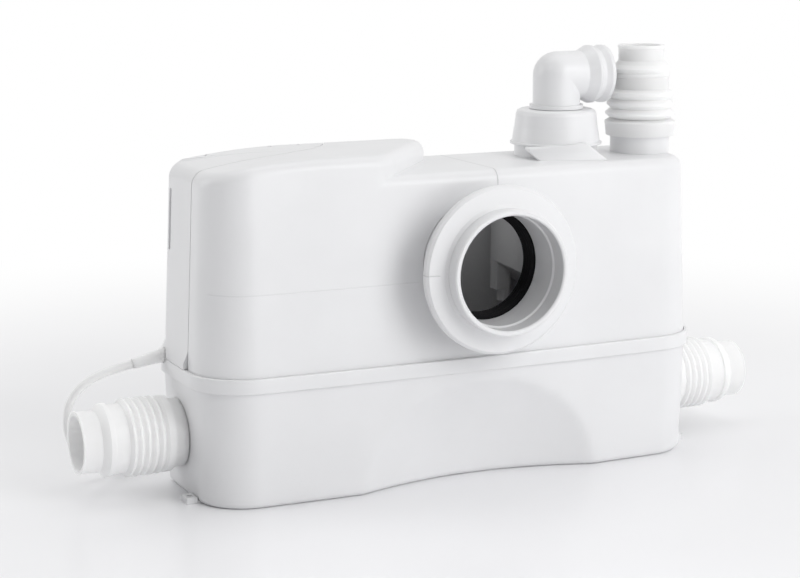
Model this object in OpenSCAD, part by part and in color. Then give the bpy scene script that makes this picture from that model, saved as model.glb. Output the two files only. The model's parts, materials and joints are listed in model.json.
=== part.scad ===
// Macerator toilet pump: a tank on the floor with a cutting pump, a toilet inlet and three waste inlets.
// Millimetres, +Z up, the toilet on the -Y side. The origin is on the floor under the middle of the body.

/* [Body] */
// Width of the body at its rim band
body_w = 452; // [440:1:480]
// Depth of the body at its rim band
body_d = 132; // [130:1:150]
// Radius of the upright front corners at the rim band
corner_r = 45; // [40:1:55]
// Radius of the upright rear corners at the rim band
rear_r = 22; // [18:1:30]
// How far the front bows out between its corners
front_bow = 4; // [0:0.5:6]
// Thickness of the moulded walls
wall = 3.5; // [3:0.1:4.5]
// Radius of the rounded top edges
edge_r = 10; // [6:0.5:12]

/* [Tank] */
// Height of the underside of the rim band
band_z = 93; // [88:1:100]
// Height of the top of the rim
rim_z = 105; // [102:1:115]
// How far the rim band stands out of the tank wall
band_out = 3; // [2:0.5:4]
// Draft of the tank walls in degrees
tank_draft = 1.5; // [0.5:0.1:2.5]
// Rounding of the tank's bottom edge
foot_r = 5; // [3:0.5:7]
// Thickness of the tank floor
floor_t = 4; // [3:0.5:6]
// Half width of the scoop in the tank front
scoop_w = 105; // [80:1:115]
// Height of the scoop
scoop_h = 86; // [70:1:87]
// Depth of the scoop at the floor
scoop_d = 21; // [12:1:24]

/* [Housing] */
// Width of the ledge that the rim shows round the housing
ledge = 3.5; // [2.5:0.5:5]
// Draft of the housing walls in degrees
house_draft = 2.5; // [1:0.1:3]
// Height of the deck
deck_z = 255; // [252:1:262]
// Height of the hump over the motor
hump_z = 271; // [268:1:280]
// How much lower the hump is at the left end
hump_fall = 9; // [0:1:12]
// Where the slanting side of the hump meets the front
hump_front_x = -63; // [-70:1:-50]
// Where the slanting side of the hump meets the back
hump_back_x = 46; // [35:1:55]

/* [Service cover] */
// Distance of the cover's straight seam in front of the middle
seam_y = 8; // [4:1:14]
// Radius of the curved end of the cover
seam_r = 90; // [85:1:95]
// Width of the open seam
seam_gap = 0.9; // [0.7:0.1:1.2]

/* [Toilet inlet] */
// Distance of the inlet to the right of the middle
inlet_x = 11; // [5:1:15]
// Height of the inlet axis
inlet_z = 180; // [176:1:184]
// Radius of the open mouth
mouth_r = 45.7; // [44:0.1:46.5]
// Outside radius of the spigot
spigot_r = 50; // [49:0.1:51]
// Outside radius of the flange
flange_r = 67.5; // [64:0.5:72]
// How far the mouth stands out in front of the middle of the body
inlet_reach = 110; // [106:1:118]

/* [Waste inlets] */
// Height of the side inlets
port_z = 49; // [46:1:58]
// Distance of the side inlets behind the middle
port_y = 18; // [0:1:20]
// Bore of the side connectors
port_bore_r = 21.7; // [21:0.1:22]
// Length of a side connector
port_len = 84; // [79:1:94]
// Outside radius of the connector ribs
rib_r = 31.2; // [30.5:0.1:32]
// Distance from rib to rib
rib_pitch = 5.8; // [5.2:0.1:6]
// Number of ribs on a side connector
rib_count = 5; // [4:1:6]
// Distance of the top inlet from the right end of the body
top_end = 33; // [31:0.5:35]
// Height of the top connector's mouth
top_z = 346; // [342:1:352]
// Bore of the top connector
top_bore_r = 16.6; // [16:0.1:17]

/* [Discharge] */
// Distance of the discharge from the right end of the body
outlet_end = 110; // [108:0.5:112]
// Distance of the discharge behind the middle
outlet_y = 10; // [8:0.5:12]
// Outside radius of the elbow
elbow_r = 20; // [19.5:0.1:20.5]
// Bore of the elbow
elbow_bore_r = 16.2; // [15.5:0.1:16.8]
// Height of the elbow's arm
arm_z = 322; // [320:1:328]
// Length of the arm from the upright axis
arm_len = 44; // [42:0.5:44]
// Outside radius of the arm's barbs
barb_r = 24.4; // [23.5:0.1:24.6]

/* [Pump] */
// Distance of the pump shaft from the left end of the body
pump_end = 106; // [105:0.5:107]
// Radius of the motor shaft
shaft_r = 6; // [5:0.25:7]
// Outside radius of the motor can
motor_r = 42; // [41:0.5:43]
// Height of the motor can above its flange
motor_h = 109; // [105:1:112]
// Radius of the impeller
impeller_r = 36; // [32:0.5:37]
// Outside radius of the internal discharge pipe
pipe_r = 14; // [13:0.25:14.5]

/* [Cord] */
// Diameter of the mains lead
cord_d = 6.6; // [6.2:0.1:6.8]
// Radius of the plug body
plug_r = 19; // [18:0.5:20]

/* [Fits] */
// Free gap between pieces that are assembled by hand
gap = 0.3; // [0.25:0.05:0.4]
// Radial play of a shaft or pin in its bearing
play = 0.05; // [0.03:0.01:0.08]

/* [Hidden] */
$fn = 64;
eps = 0.01;
half_w = body_w / 2;
half_d = body_d / 2;
pump_x = half_w - pump_end;
outlet_x = half_w - outlet_end;
top_x = half_w - top_end;
corner_steps = 8;
front_steps = 8;
scoop_steps = 24;
white = "whitesmoke";
grey = "lightgrey";

// Heights of the joint between tank and housing
groove_deep = 6;
gasket_t = 2;
tongue_z = rim_z - groove_deep + gasket_t;
groove_out = ledge - groove_deep * tan(house_draft) - gap;
groove_in = ledge + wall + gap;
rim_in = groove_in + 6;

// Plate over the wet tank
plate_t = 4;
plate_z = rim_z + plate_t;
partition_t = 3;
partition_x = -pump_x + 54;

// Side ports of the tank
port_wall_x = half_w - band_out - (band_z - port_z) * tan(tank_draft);
spout_r = port_bore_r + 0.3;
spout_bore_r = spout_r - 3;
spout_len = 26;
boss_r = 29;
boss_x = port_wall_x - wall - 2.5;
frame_t = 3;
flap_t = 2.5;
flap_r = spout_bore_r + 3;
pin_r = 2;
flap_pin_x = boss_x - frame_t - 3.6;
flap_pin_z = port_z + flap_r + 5;

// Discharge valve, from the pipe socket up to the neck in the deck
valve_r = 40;
chamber_r = 30;
seat_z = 190;
chamber_top_z = 238;
valve_top_z = deck_z - wall - gap;
neck_r = 30;
pedestal_r = 35;
cap_top_z = deck_z + 39;
valve_flap_r = 18.5;
valve_pin_y = 23;
valve_pin_z = seat_z + 3.6;
socket_z = 150;

// Pump and motor, stacked on one shaft
casing_z = 38;
casing_top_z = 68;
casing_r = impeller_r + 9;
chamber_roof_z = 62;
cutter_z = 30;
suction_r = 24;
outlet_z = casing_z + pipe_r + gap;
column_r = 26;
seal_r = 20;
bearing_r = 16;
bearing_h = 9;
flange_t = 4;
motor_flange_r = motor_r + 8;
can_wall = 2.5;
can_floor_z = plate_z + 10;
can_top_z = plate_z + motor_h + flange_t;
cap_h = 14;
rotor_r = 21.5;
air_gap = 0.5;
stator_z = can_floor_z + 16;
stator_h = 54;
winding_h = 10;
screw_ring_r = motor_r + 4.5;

// The internal pipe leaves the casing on a tangent and aims at the discharge axis
tangent_r = impeller_r - 7;
pipe_run = norm([outlet_x + pump_x, outlet_y]);
pipe_turn = asin(tangent_r / pipe_run) - atan2(outlet_y, outlet_x + pump_x);
pipe_len = sqrt(pipe_run * pipe_run - tangent_r * tangent_r);
pipe_bore_r = pipe_r - 2.5;
bend_r = 28;
joint_at = 62;

// Level sensing and electrics on the plate
level_x = -half_w + 41;
level_y = -32;
switch_z = plate_z + 13;
switch_h = 14;
capacitor_r = 16;
capacitor_h = 58;
capacitor_at = [-half_w + 37, 28];
tab = [1, 6, 9];
board_x = partition_x - 6;
board_y = 22;
board = [1.6, 30, 74];

// Sizes of the small fittings
inlet_neck_r = spigot_r + 3;
pedestal_h = 10;
elbow_flange_h = 4.5;
cap_rim_r = 38.8;
top_spout_r = 25.2;
top_spout_h = 27;
seal_ring_z = 243;
seal_ring_h = 3;
seal_h = 13;
screw_r = 2.3;
level_r = 11;
level_foot_z = 14;
level_wall = 2;
level_spout_r = 4;
switch_r = 18;
plunger_r = 3;
vent_r = 9;
vent_at = [-half_w + 23, -1];
gland_in = 14;
lip_t = 2.5;
lip_wide = 7;
skirt_h = 14;

// Cord: where it leaves the body, and the points of its free stretch, chosen by hand
gland_y = 42;
gland_z = 107;
gland_r = 6;
gland_x = -half_w + rear_r - sqrt(pow(rear_r, 2) - pow(max(0, gland_y - half_d + rear_r), 2));
boot_root = [-half_w, gland_y, gland_z];
cord_r = cord_d / 2;
coil_loops = 5;
coil_pitch = cord_d + 0.7;
coil_in_r = 27.5;
coil_out_r = coil_in_r + coil_pitch * coil_loops / 2;
coil_x = -165;
coil_y = 134;
tie_t = 1;
coil_z = tie_t + 0.2 + cord_r;
coil_steps = 24;
cord_break = 0.8;
cord_route = [[-251.6, 42, 102.1], [-264, 42, 99.7], [-276, 42.5, 96.5], [-287, 44, 91.3], [-296, 46.5, 83.5],
    [-301.5, 50, 73], [-303, 54, 61], [-301.5, 58.5, 48.5], [-297, 63, 36.5], [-289.5, 68, 25.5],
    [-279, 73, 16], [-266, 78, 8.8], [-251, 82.5, 5], [-235, 85.8, 4], [-218, 87.6, 4],
    [-200, 88.2, 4.2], [-182, coil_y - coil_out_r, coil_z],
    [coil_x - cord_break, coil_y - coil_out_r, coil_z]];
plug_at = [-112, 90, plug_r];
tail_route = [[coil_x + cord_break, coil_y - coil_out_r, coil_z + coil_pitch], [-156, 88.25, coil_z + coil_pitch],
    [-145, 88.5, 13.2], [-134, 89.3, 16], [-122, 90, plug_r], plug_at];

// A run of points on an arc
function arc(c, r, a0, a1, n) =
    [for (i = [0:n]) let (a = a0 + (a1 - a0) * i / n) [c[0] + r * cos(a), c[1] + r * sin(a)]];

// The front stands straight at its middle and falls back towards the ends
function bowed(p) = p[1] < 0 ? [p[0], p[1] - front_bow * pow(p[0] / half_w, 2) * p[1] / half_d] : p;

// The body's outline in plan, drawn in by an inset, anticlockwise from the left end
function outline(inset, steps = front_steps) =
    let (x = half_w - corner_r, y = half_d - corner_r, r = corner_r - inset)
    let (rear_x = half_w - rear_r, rear_y = half_d - rear_r, back_r = max(rear_r - inset, 1))
    [for (p = concat(
        arc([-x, -y], r, 180, 270, corner_steps),
        [for (i = [1:steps - 1]) [-x + 2 * x * i / steps, -y - r]],
        arc([x, -y], r, 270, 360, corner_steps),
        arc([rear_x, rear_y], back_r, 0, 90, corner_steps),
        arc([-rear_x, rear_y], back_r, 90, 180, corner_steps))) bowed(p)];

// How far the scoop presses the tank front in at a point
function scoop(p, z) = p[1] > -half_d / 2 ? 0
    : scoop_d * max(0, 1 - pow((p[0] - inlet_x) / scoop_w, 2) - pow(z / scoop_h, 2));

// Level rings of the tank, with the scoop, and of the housing, without
function tank_ring(inset, z) = [for (p = outline(inset, scoop_steps)) [p[0], p[1] + scoop(p, z), z]];
function plain_ring(inset, z) = [for (p = outline(inset)) [p[0], p[1], z]];

// The slanting side of the hump, with a rounded corner at each end
hump_dir = unit([hump_back_x - hump_front_x, body_d]);
hump_turn = atan2(-hump_dir[0], hump_dir[1]);
hump_corner_r = [40, 30];
function slant_x(y, r) = hump_front_x + (-r + hump_dir[0] * (y + half_d)) / hump_dir[1];
function hump_outline(inset) = let (x = half_w - corner_r, y = half_d - corner_r, r = corner_r - inset)
    let (rear = [rear_r - half_w, half_d - rear_r], back_r = max(rear_r - inset, 1))
    let (ra = hump_corner_r[0], rb = hump_corner_r[1], ya = -half_d + ra, yb = half_d - rb)
    let (a = [slant_x(ya, ra), ya], b = [slant_x(yb, rb), yb])
    [for (p = concat(
        arc([-x, -y], r, 180, 270, corner_steps),
        [for (i = [1:2]) [-x + (a[0] + x) * i / 3, -y - r]],
        arc(a, ra - inset, 270, 360 + hump_turn, corner_steps),
        arc(b, max(rb - inset, 1), hump_turn, 90, corner_steps),
        [for (i = [1:2]) [b[0] + (rear[0] - b[0]) * i / 3, half_d - inset]],
        arc(rear, back_r, 90, 180, corner_steps))) bowed(p)];
hump_flat_x = -half_w + 111;
function hump_top(x) = hump_z - hump_fall * pow(max(0, hump_flat_x - x) / 100, 2);
// The hump's walls stand a hair proud of the deck's, so that the two forms never share a face
hump_proud = 0.15;
function hump_ring(inset, drop) = let (rough = hump_outline(inset))
    [for (i = [0:len(rough) - 1]) let (top = hump_top(rough[i][0]))
        let (p = hump_outline(inset + house_in(top - edge_r) - hump_proud)[i]) [p[0], p[1], top - drop]];
function hump_foot(inset, z) = [for (p = hump_outline(inset + house_in(z) - hump_proud)) [p[0], p[1], z]];

// Insets of the drafted walls at a height
function tank_in(z) = band_out + (band_z - z) * tan(tank_draft);
function house_in(z) = ledge + (z - rim_z) * tan(house_draft);

// A solid through a stack of rings that have equal numbers of points, closed at both ends
module loft(rings) {
    n = len(rings[0]);
    last = len(rings) - 1;
    sides = [for (j = [0:last - 1]) for (i = [0:n - 1])
        let (a = j * n + i, b = j * n + (i + 1) % n) each [[a, a + n, b + n], [a, b + n, b]]];
    polyhedron([for (r = rings) each r],
        concat(sides, [[for (i = [0:n - 1]) i]], [[for (i = [n - 1:-1:0]) last * n + i]]));
}

// Rings of a round tube along a route; the reference is never along the route
function unit(v) = v / norm(v);
function tube_rings(route, r, sides, ref) = [for (i = [0:len(route) - 1])
    let (t = unit(route[min(i + 1, len(route) - 1)] - route[max(i - 1, 0)]))
    let (u = unit(cross(ref, t)), v = cross(t, u))
    [for (k = [0:sides - 1]) route[i] + r * (cos(360 * k / sides) * u + sin(360 * k / sides) * v)]];

// The drafted body of the housing: deck and hump, drawn in by a wall's thickness
module housing_form(inset) {
    edge_z = deck_z - edge_r;
    foot_z = tongue_z - 40;
    hull() loft(concat([plain_ring(house_in(foot_z) + inset, foot_z)],
        [for (a = [0:22.5:90])
            plain_ring(house_in(edge_z) + inset + (edge_r - inset) * (1 - cos(a)),
                edge_z + (edge_r - inset) * sin(a))]));
    hull() loft(concat([hump_foot(inset, foot_z)],
        [for (a = [0:22.5:90])
            hump_ring(inset + (edge_r - inset) * (1 - cos(a)), edge_r - (edge_r - inset) * sin(a))]));
}

// Plan of the service cover, grown or shrunk by part of the seam
module cover_plan(grow) {
    far = 20;
    seam_x = -half_w + 61;
    translate([-half_w - far, -seam_y - grow]) square([seam_x + half_w + far, half_d + seam_y + far]);
    translate([seam_x, -seam_y + seam_r]) circle(seam_r + grow);
}

// A cylinder along X, Y or Z from a point
module rod_x(at, r, len) translate(at) rotate([0, 90, 0]) cylinder(r = r, h = len);
module rod_y(at, r, len) translate(at) rotate([-90, 0, 0]) cylinder(r = r, h = len);
module rod_z(at, r, len) translate(at) cylinder(r = r, h = len);
module ring_z(at, r, hole, len) translate(at) difference() {
    cylinder(r = r, h = len);
    translate([0, 0, -eps]) cylinder(r = hole, h = len + 2 * eps);
}

// Hole for the cable gland, from outside the left end
module gland_hole(len) rod_x([gland_x - 10, gland_y, gland_z], gland_r + gap, len, $fn = 48);

// Puts a form that is made along +X at the left or the right end
module at_end(side) { if (side > 0) children(); else mirror([1, 0, 0]) children(); }

// Wall profile of the tank: up the outside, over the grooved rim and down the inside
tank_heights = [for (i = [0:8]) foot_r + (band_z - foot_r) * i / 8];
band_edge = 1;
tank_profile = concat(
    [[tank_in(0) + foot_r, 0], [tank_in(0) + 0.3 * foot_r, 0.3 * foot_r]],
    [for (z = tank_heights) [tank_in(z), z]],
    [[band_edge, band_z], [0, band_z + band_edge], [0, rim_z - band_edge], [band_edge, rim_z],
     [groove_out, rim_z], [groove_out, rim_z - groove_deep],
     [groove_in, rim_z - groove_deep], [groove_in, rim_z],
     [rim_in, rim_z], [rim_in, rim_z - groove_deep - 2]],
    [for (i = [7:-1:1]) let (z = tank_heights[i]) [tank_in(z) + wall, z]],
    [[tank_in(0) + wall + 0.3 * foot_r, floor_t + foot_r], [tank_in(0) + wall + foot_r, floor_t]]);

// Ribs inside the rear wall stiffen the tank
rib_places = [for (i = [0:7]) -175 + 50 * i];
module tank_rib(x) {
    rib_t = 3;
    rib_top = band_z - 12;
    hull() {
        translate([x, half_d - tank_in(floor_t) - wall - 4, floor_t - 1]) cube([rib_t, 5, 1]);
        translate([x, half_d - tank_in(rib_top) - wall - 2, rib_top]) cube([rib_t, 3, 1]);
    }
}

module tank() color(white) difference() {
    union() {
        loft([for (p = tank_profile) tank_ring(p[0], p[1])]);
        for (side = [-1, 1]) at_end(side) {
            rod_x([boss_x, port_y, port_z], boss_r, port_wall_x - boss_x - 1);
            rod_x([port_wall_x - 2, port_y, port_z], spout_r, spout_len + 2);
        }
        for (x = rib_places) tank_rib(x);
    }
    for (side = [-1, 1]) at_end(side) {
        rod_x([boss_x - 1, port_y, port_z], spout_bore_r, spout_len + 30);
        translate([lug_root_x - gap, lug_y - lug_w / 2 - gap, -1])
            cube([40, lug_w + 2 * gap, 1 + lug_tongue_t]);
    }
    gland_hole(40);
}

// Floor lugs: each has a tongue that lies under the tank and a plate with a screw hole beside it
lug_w = 14;
lug_y = -15;
lug_t = 5;
lug_tongue_t = 2.2;
lug_hole_r = 2.4;
lug_wall_x = half_w - tank_in(lug_t) + gap;
lug_root_x = lug_wall_x - 16;
lug_x = lug_wall_x + 4.6;
module floor_lugs() color(white) for (side = [-1, 1]) at_end(side) difference() {
    union() {
        translate([lug_root_x, lug_y - lug_w / 2, 0]) cube([20, lug_w, lug_tongue_t]);
        translate([lug_wall_x, lug_y - lug_w / 2, 0]) cube([9.2, lug_w, lug_t]);
    }
    rod_z([lug_x, lug_y, -1], lug_hole_r, lug_t + 2);
}

module rim_gasket() color("dimgray") difference() {
    translate([0, 0, rim_z - groove_deep]) linear_extrude(gasket_t) polygon(outline(groove_out + gap));
    translate([0, 0, rim_z - groove_deep - 1]) linear_extrude(gasket_t + 2)
        polygon(outline(groove_in - gap));
}

// A shell between two forms of the housing, kept to a band along the seam
module seam_lip() intersection() {
    difference() {
        housing_form(wall - gap);
        housing_form(wall + lip_t);
    }
    translate([0, 0, plate_z + 2]) linear_extrude(hump_z) difference() {
        cover_plan(lip_wide);
        cover_plan(-lip_wide);
    }
}

// Sloping foot in front of the discharge cap, turned a little to the left
module discharge_apron() {
    clear_r = cap_rim_r + 0.4;
    difference() {
        translate([outlet_x, outlet_y, deck_z]) rotate([0, 0, -18]) hull() {
            translate([-22, -clear_r - 3.5, -2.5]) cube([58, 25, 2]);
            translate([-31, -clear_r - 0.4, 7]) cube([49, 20, 3]);
            translate([10, -clear_r - 0.4, 11]) cube([8, 20, 3]);
        }
        rod_z([outlet_x, outlet_y, deck_z + 1], clear_r, 20);
    }
}

// The housing: a shell open below and behind the seam, with a lip inside that backs the seam
module upper_housing() color(white) difference() {
    union() {
        difference() {
            union() {
                housing_form(0);
                rod_z([outlet_x, outlet_y, deck_z - 1], pedestal_r, pedestal_h + 1);
                discharge_apron();
                rod_z([top_x, 0, deck_z - 1], top_spout_r, top_spout_h + 1);
            }
            housing_form(wall);
            translate([0, 0, rim_z]) linear_extrude(hump_z) cover_plan(seam_gap / 2);
        }
        seam_lip();
    }
    rod_y([inlet_x, -inlet_reach, inlet_z], inlet_neck_r + gap, inlet_reach, $fn = 72);
    rod_z([outlet_x, outlet_y, deck_z - 2 * wall], neck_r + gap, pedestal_h + 4 * wall);
    rod_z([top_x, 0, deck_z - 2 * wall], top_spout_r - wall, top_spout_h + 4 * wall);
    gland_hole(40);
    translate([-body_w, -body_d, 0]) cube([2 * body_w, 2 * body_d, tongue_z]);
}

// A slot with round ends through a top or side wall
module slot(from, to, r, deep) hull() {
    translate(from) cylinder(r = r, h = deep, $fn = 24);
    translate(to) cylinder(r = r, h = deep, $fn = 24);
}

// The service cover: the rest of the shell, with a skirt down to the rim, vents and a finger slot
vent_x = [-187, -132, -107];
module service_cover() color(white) difference() {
    intersection() {
        difference() {
            union() {
                housing_form(0);
                hull() loft([plain_ring(gap, rim_z + gap), plain_ring(gap, rim_z + skirt_h / 3),
                    plain_ring(house_in(rim_z + skirt_h), rim_z + skirt_h)]);
            }
            housing_form(wall - 2 * gap);
        }
        translate([0, 0, rim_z + gap]) linear_extrude(hump_z) cover_plan(-seam_gap / 2);
    }
    for (x = vent_x) slot([x, half_d - 24, deck_z - 5], [x + 5, half_d - 18, deck_z - 5], 1.2, 30);
    slot([-96, half_d - 18, deck_z], [-86, half_d - 18, deck_z], 1.5, 30);
    hull() for (z = [195, 240]) rod_x([-half_w, gland_y - 1, z], 2.2, house_in(z) + 1.2);
    hull() for (z = [rim_z - gland_r, gland_z]) rod_x([-half_w - 5, gland_y, z], gland_r + gap, 30);
}

// Plate over the wet tank with the upright partition of the dry compartment
module pump_deck() color(grey) {
    difference() {
        translate([0, 0, rim_z]) linear_extrude(plate_t) intersection() {
            polygon(outline(groove_in + gap));
            translate([-half_w, -half_d]) square([half_w + partition_x, body_d]);
        }
        rod_z([-pump_x, 0, rim_z - 1], column_r + gap, plate_t + 2);
        rod_z([level_x, level_y, rim_z - 1], level_spout_r + gap, plate_t + 2);
        rod_z([vent_at[0], vent_at[1], rim_z - 1], vent_r - 4, plate_t + 2);
        gland_hole(gland_in + 12);
        motor_screw_places() rod_z([0, 0, rim_z - 1], screw_r + 0.2, plate_t + 2);
    }
    top = deck_z - wall - 6;
    foot_y = half_d - house_in(plate_z) - wall - lip_t - 1;
    head_y = half_d - house_in(top) - wall - lip_t - 1;
    translate([partition_x - partition_t, 0, 0]) rotate([90, 0, 90]) linear_extrude(partition_t)
        polygon([[-foot_y, rim_z + 1], [foot_y, rim_z + 1], [head_y, top], [-head_y, top]]);
}

// Toilet inlet: a revolve about the inlet axis, with distances measured out of the body
inlet_in = half_d - 16;
flange_back = inlet_reach - 23.5;
seal_out = inlet_in + 16;
seal_seat_r = mouth_r + 1.3;
module inlet_axis() translate([inlet_x, 0, inlet_z]) rotate([90, 0, 0]) children();
module inlet_collar() color(white) inlet_axis() rotate_extrude($fn = 128) polygon([
    [inlet_neck_r, inlet_in], [inlet_neck_r, flange_back], [flange_r - 1.5, flange_back],
    [flange_r, flange_back + 1.5], [flange_r, flange_back + 6], [flange_r - 2, flange_back + 8.2],
    [spigot_r + 3, flange_back + 9.5], [spigot_r, flange_back + 11],
    [spigot_r, inlet_reach - 1], [spigot_r - 1, inlet_reach], [mouth_r + 1, inlet_reach],
    [mouth_r, inlet_reach - 1], [mouth_r, inlet_reach - 15], [mouth_r - 1.2, inlet_reach - 16.5],
    [mouth_r - 1.2, seal_out], [seal_seat_r, seal_out], [seal_seat_r, inlet_in]]);

module inlet_seal() color("black") inlet_axis() {
    r = seal_seat_r - 0.1;
    root = mouth_r - 2.2;
    rotate_extrude($fn = 128) polygon([
        [r, inlet_in + 1], [r, seal_out - 1], [root, seal_out - 1],
        [root - 7.5, seal_out - 4.8], [root - 7.5, seal_out - 6], [root, seal_out - 4],
        [root, seal_out - 7.5], [root - 6.5, seal_out - 11.4], [root - 6.5, seal_out - 12.6],
        [root, seal_out - 10.5], [root, inlet_in + 1]]);
}

// Ribs of a connector as points of its profile
function ribs(from, pitch, count, root, crest) = [for (i = [0:count - 1]) each [
    [root, from + pitch * i], [crest, from + pitch * (i + 0.35)], [crest, from + pitch * (i + 0.6)]]];

// Ribbed sleeve of a side inlet, pushed over the tank's spout
module side_connector() {
    sleeve_r = rib_r - 0.7;
    first = 19;
    foot_len = 10;
    mid_r = rib_r - 3.5;
    neck = port_bore_r + 2.9;
    translate([port_wall_x + 0.8, port_y, port_z]) rotate([0, 90, 0]) rotate_extrude($fn = 96) polygon(concat(
        [[spout_r + gap, 0], [mid_r, 0], [mid_r, foot_len], [sleeve_r, foot_len + 1],
         [sleeve_r, first - 2.5], [mid_r + 0.6, first]],
        ribs(first, rib_pitch, rib_count, mid_r + 0.6, rib_r),
        [[mid_r, first + rib_pitch * rib_count], [mid_r, port_len - 25], [mid_r + 1.6, port_len - 24.4],
         [mid_r + 1.6, port_len - 20.5], [neck, port_len - 15], [neck, port_len - 1.5],
         [neck + 0.4, port_len - 1], [neck + 0.4, port_len], [port_bore_r, port_len],
         [port_bore_r, spout_len + 1], [spout_r + gap, spout_len + 1]]));
}
module left_connector() color(white) at_end(-1) side_connector();
module right_connector() color(white) at_end(1) side_connector();

// Ribbed sleeve of the top inlet, pushed over the spout on the deck
module top_connector() color(white) {
    foot_z = deck_z + 14.5;
    h = top_z - foot_z;
    neck = top_bore_r + 2.8;
    bore_mid_r = top_bore_r + 4;
    spout_end = top_spout_h - 14.5;
    translate([top_x, 0, foot_z]) rotate_extrude($fn = 96) polygon([
        [top_spout_r + gap, 0], [top_spout_r + 3.8, 0], [30.2, 10.5], [30.2, 12],
        [25.6, 14.5], [30, 18], [30, 19.5], [25.4, 23], [28.6, 26], [28.6, 28],
        [25, 31], [28.4, 34], [28.4, 37], [23.8, 39.5], [23.8, h - 27], [24.8, h - 25.5], [24.8, h - 24],
        [23.9, h - 23], [25.6, h - 21], [25.6, h - 19.5], [22, h - 16.5], [neck, h - 13], [neck, h - 3],
        [neck + 0.7, h - 2.2], [neck + 0.7, h], [top_bore_r, h], [top_bore_r, h - 22],
        [bore_mid_r, h - 28], [bore_mid_r, spout_end + 2], [top_spout_r + gap, spout_end + 1]]);
}

// Non-return flap of a side inlet: a frame on the tank's boss and a flap hung on a pin in its ears
ear_y = 10;
ear_t = 4;
module flap_frame() difference() {
    union() {
        rod_x([boss_x - frame_t, port_y, port_z], boss_r - 2, frame_t);
        for (y = [port_y + ear_y, port_y - ear_y - ear_t]) {
            translate([boss_x - frame_t, y, port_z + 12])
                cube([frame_t, ear_t, flap_pin_z + 4 - port_z - 12]);
            translate([flap_pin_x - 4, y, port_z + flap_r + 0.8]) cube([boss_x - flap_pin_x + 2, ear_t, 8]);
        }
    }
    rod_x([boss_x - frame_t - 1, port_y, port_z], spout_bore_r, frame_t + 2);
    rod_y([flap_pin_x, port_y - 20, flap_pin_z], pin_r + play, 40);
}
module flap() {
    back_x = boss_x - frame_t - gap - flap_t;
    rod_x([back_x, port_y, port_z], flap_r, flap_t);
    translate([back_x, port_y - ear_y + 2, port_z + flap_r - 4])
        cube([flap_t, 2 * ear_y - 4, flap_pin_z - port_z - flap_r + 4]);
    rod_y([flap_pin_x, port_y - ear_y + gap, flap_pin_z], 3, 2 * ear_y - 2 * gap);
    rod_y([flap_pin_x, port_y - ear_y - ear_t, flap_pin_z], pin_r, 2 * ear_y + 2 * ear_t);
}
module left_flap_frame() color(grey) at_end(-1) flap_frame();
module right_flap_frame() color(grey) at_end(1) flap_frame();
module left_flap() color("dimgray") at_end(-1) flap();
module right_flap() color("dimgray") at_end(1) flap();

// Discharge: cap on the deck, swivelling elbow, valve body below
module at_outlet(z) translate([outlet_x, outlet_y, z]) children();
module discharge_cap() color(white) {
    z0 = deck_z + pedestal_h;
    h = cap_top_z - z0;
    at_outlet(z0) rotate_extrude($fn = 96) polygon([
        [neck_r + gap, 0], [cap_rim_r, 0], [cap_rim_r, 1.5], [cap_rim_r - 1.4, 2.2],
        [cap_rim_r - 3.6, h * 0.5], [cap_rim_r - 4.8, h - 4],
        [cap_rim_r - 6, h - 1.2], [cap_rim_r - 8.5, h],
        [elbow_r + gap, h], [elbow_r + gap, elbow_flange_h + gap], [neck_r + gap, elbow_flange_h + gap]]);
}
module discharge_elbow() color(white) difference() {
    union() {
        at_outlet(chamber_top_z + gap) cylinder(r = elbow_r, h = arm_z - chamber_top_z - gap);
        at_outlet(deck_z + pedestal_h + gap) cylinder(r = elbow_r + 6, h = elbow_flange_h - gap);
        at_outlet(cap_top_z + gap) cylinder(r = elbow_r + 2.6, h = 3.5);
        at_outlet(arm_z) sphere(r = elbow_r);
        at_outlet(arm_z) rotate([0, 90, 0]) rotate_extrude($fn = 96) polygon([
            [0, 0], [elbow_r, 0], [elbow_r, arm_len - 23],
            [barb_r - 1, arm_len - 16.5], [barb_r, arm_len - 14.5], [barb_r, arm_len - 12],
            [barb_r - 2.1, arm_len - 10.5], [barb_r - 2.1, arm_len - 7.5],
            [barb_r, arm_len - 3], [barb_r, arm_len], [0, arm_len]]);
    }
    at_outlet(chamber_top_z) cylinder(r = elbow_bore_r, h = arm_z - chamber_top_z);
    at_outlet(arm_z) sphere(r = elbow_bore_r);
    at_outlet(arm_z) rotate([0, 90, 0]) cylinder(r = elbow_bore_r, h = arm_len + 1);
    ring_z([outlet_x, outlet_y, seal_ring_z], elbow_r + 1, elbow_r - 1.8, seal_ring_h);
}
module elbow_seal() color("black")
    ring_z([outlet_x, outlet_y, seal_ring_z + 0.1], elbow_r, elbow_r - 1.75, seal_ring_h - 0.2);

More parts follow.
